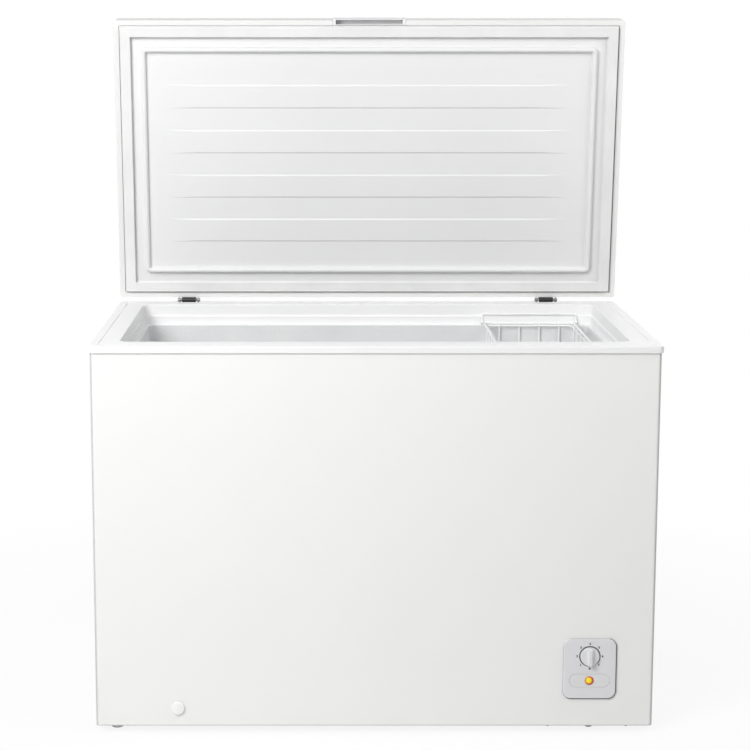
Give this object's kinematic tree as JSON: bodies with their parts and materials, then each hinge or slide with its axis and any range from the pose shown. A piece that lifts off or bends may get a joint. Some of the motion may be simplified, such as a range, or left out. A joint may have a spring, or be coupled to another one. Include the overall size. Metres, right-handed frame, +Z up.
{
  "type": "chest freezer",
  "caption": "Free-standing chest freezer with a hinged insulated lid, front thermostat knob, drain outlet and a hanging wire basket.",
  "frame": {"origin": "centre of the bounding box in plan, on the floor under the feet, with the lid open 84 degrees", "axes": "+Z up from the floor to the top of the open lid, +X to the right when facing the front, +Y from the front to the back"},
  "size_m": [1.118, 0.697, 1.4172],
  "materials": {
    "white_sheet": "white coated steel sheet, semi-gloss",
    "plain_sheet": "galvanised steel sheet",
    "foam": "rigid polyurethane foam",
    "liner_sheet": "white coated stucco aluminium sheet",
    "frame_plastic": "white moulded plastic, satin",
    "lid_plastic": "white vacuum-formed plastic, satin",
    "seal": "pale grey soft vinyl",
    "magnet": "magnetic rubber strip",
    "handle_plastic": "pale grey moulded plastic, satin",
    "panel_plastic": "pale grey moulded plastic",
    "window_plastic": "pale glossy plastic",
    "knob_plastic": "pale grey moulded plastic",
    "lens": "translucent amber plastic",
    "dark_plastic": "black moulded plastic",
    "control_case": "plated steel case",
    "bright_steel": "zinc-plated steel",
    "dark_steel": "black coated steel",
    "copper": "copper pipe",
    "coil_steel": "coated steel pipe",
    "coil_aluminium": "aluminium pipe",
    "compressor_shell": "black painted steel shell",
    "mount_rubber": "black rubber",
    "drain_plastic": "white moulded plastic",
    "foot_plastic": "pale grey moulded plastic",
    "wire": "white coated steel wire"
  },
  "bodies": {
    "cabinet": {"outer_wrapper": "white_sheet", "back_panel": "plain_sheet", "bottom_pan": "plain_sheet", "body_foam": "foam", "inner_liner": "liner_sheet", "top_frame": "frame_plastic", "evaporator_coil": "coil_aluminium", "condenser_coil": "coil_steel", "machine_base": "plain_sheet", "compressor": "compressor_shell", "compressor_mounts": "mount_rubber", "compressor_nuts": "bright_steel", "starter_relay": "dark_plastic", "suction_pipe": "copper", "discharge_pipe": "copper", "charging_pipe": "copper", "filter_drier": "copper", "capillary_tube": "copper", "side_grille": "frame_plastic", "rear_cover": "plain_sheet", "cord_inlet": "dark_plastic", "thermostat": "control_case", "control_panel": "panel_plastic", "lamp_window": "window_plastic", "indicator_lens": "lens", "lamp_holder": "dark_plastic", "drain_pipe": "drain_plastic", "left_feet": "foot_plastic", "right_feet": "dark_plastic", "base_screws": "dark_steel", "cover_screws": "bright_steel", "hinge_bracket_left": "bright_steel", "hinge_bracket_right": "bright_steel", "hinge_pin_left": "bright_steel", "hinge_pin_right": "bright_steel", "hinge_springs": "bright_steel", "bracket_screws": "bright_steel"},
    "lid": {"lid_skin": "white_sheet", "lid_foam": "foam", "lid_inner": "lid_plastic", "lid_seal": "seal", "seal_magnets": "magnet", "lid_handle": "handle_plastic", "hinge_leaf_left": "dark_steel", "hinge_leaf_right": "dark_steel", "leaf_screws": "bright_steel"},
    "knob": {"thermostat_knob": "knob_plastic", "thermostat_shaft": "bright_steel"},
    "drain_cap": {"drain_cap": "drain_plastic"},
    "tub_plug": {"tub_plug": "drain_plastic"},
    "basket": {"basket": "wire"},
    "basket_handle_front": {"basket_handle_front": "wire"},
    "basket_handle_rear": {"basket_handle_rear": "wire"}
  },
  "joints": [
    {"name": "lid_hinge", "type": "hinge", "parent": "cabinet", "child": "lid", "pos_m": [0, 0.29157, 0.787], "axis": [-1, 0, 0], "range_deg": [-84, 0], "stiffness_Nm_per_rad": 11.5},
    {"name": "thermostat_turn", "type": "hinge", "parent": "cabinet", "child": "knob", "pos_m": [0.427, -0.33143, 0.16], "axis": [0, 1, 0], "range_deg": [-180, 135]},
    {"name": "drain_cap_pull", "type": "slide", "parent": "cabinet", "child": "drain_cap", "axis": [0, -1, 0], "range_m": [0, 0.03]},
    {"name": "tub_plug_pull", "type": "slide", "parent": "cabinet", "child": "tub_plug", "axis": [0, 0, 1], "range_m": [0, 0.03]},
    {"name": "basket_slide", "type": "slide", "parent": "cabinet", "child": "basket", "axis": [1, 0, 0], "range_m": [-0.72, 0.005]},
    {"name": "front_handle_fold", "type": "hinge", "parent": "basket", "child": "basket_handle_front", "pos_m": [0.36, -0.26743, 0.7446], "axis": [-1, 0, 0], "range_deg": [0, 100]},
    {"name": "rear_handle_fold", "type": "hinge", "parent": "basket", "child": "basket_handle_rear", "pos_m": [0.36, 0.23257, 0.7446], "axis": [1, 0, 0], "range_deg": [0, 100]}
  ]
}
